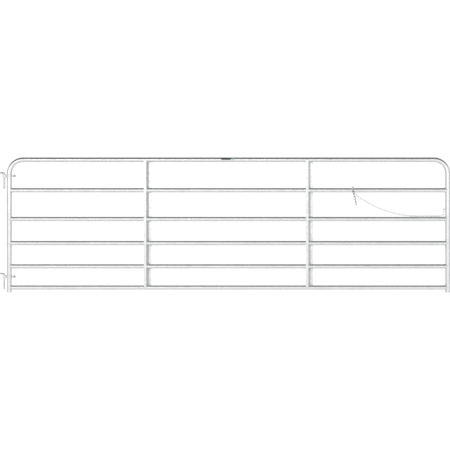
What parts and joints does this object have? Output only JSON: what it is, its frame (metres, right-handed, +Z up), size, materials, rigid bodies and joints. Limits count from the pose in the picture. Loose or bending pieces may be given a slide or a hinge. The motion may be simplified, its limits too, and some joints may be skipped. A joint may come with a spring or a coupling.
{
  "type": "livestock panel gate",
  "caption": "Long tubular steel field gate with spaced horizontal rails, upright Z braces, strap hinges on screw hooks and a latch chain.",
  "frame": {"origin": "on the lower screw hook's shank axis, where the shank enters the hinge post", "axes": "+X along the gate towards the latch side, -Y the front face, +Z up along the hinge axis"},
  "size_m": [4.3424, 0.0774, 1.27],
  "materials": {
    "galvanised_tube": "hot-dip galvanised, bright satin with faint spangle",
    "galvanised_sheet": "galvanised folded sheet, satin",
    "forged_zinc": "zinc-coated bent bar, dull",
    "hook_zinc": "zinc-plated forged rod",
    "plated_fastener": "zinc-plated fastener",
    "chain_zinc": "zinc-plated welded chain",
    "label_print": "printed vinyl, plain bar and dot"
  },
  "bodies": {
    "post_hooks": {"upper_hook": "hook_zinc", "lower_hook": "hook_zinc"},
    "gate_leaf": {"frame_tube": "galvanised_tube", "rail_2": "galvanised_tube", "rail_3": "galvanised_tube", "rail_4": "galvanised_tube", "rail_5": "galvanised_tube", "rail_6": "galvanised_tube", "brace_left": "galvanised_sheet", "brace_right": "galvanised_sheet", "upper_strap": "forged_zinc", "lower_strap": "forged_zinc", "upper_clamp_bolt": "plated_fastener", "lower_clamp_bolt": "plated_fastener", "upper_clamp_nut": "plated_fastener", "lower_clamp_nut": "plated_fastener", "upper_washers": "plated_fastener", "lower_washers": "plated_fastener", "chain_staple": "forged_zinc", "chain_drop": "chain_zinc", "chain_on_rail": "chain_zinc", "chain_hanging": "chain_zinc", "chain_over_rail": "chain_zinc", "label": "label_print"},
    "tail_link": {"chain_tail_link": "chain_zinc"},
    "chain_end": {"chain_tail": "chain_zinc"}
  },
  "joints": [
    {"name": "gate_swing", "type": "hinge", "parent": "post_hooks", "child": "gate_leaf", "pos_m": [0.045, 0, 0], "axis": [0, 0, 1], "range_deg": [-100, 100]},
    {"name": "tail_swing", "type": "hinge", "parent": "gate_leaf", "child": "tail_link", "pos_m": [3.3224, -0.03127, 0.76914], "axis": [0, 1, 0], "range_deg": [-20, 65]},
    {"name": "chain_end_swing", "type": "hinge", "parent": "tail_link", "child": "chain_end", "pos_m": [3.32819, -0.03127, 0.74502], "axis": [0.9724, 0, 0.2334], "range_deg": [-70, 40]}
  ]
}
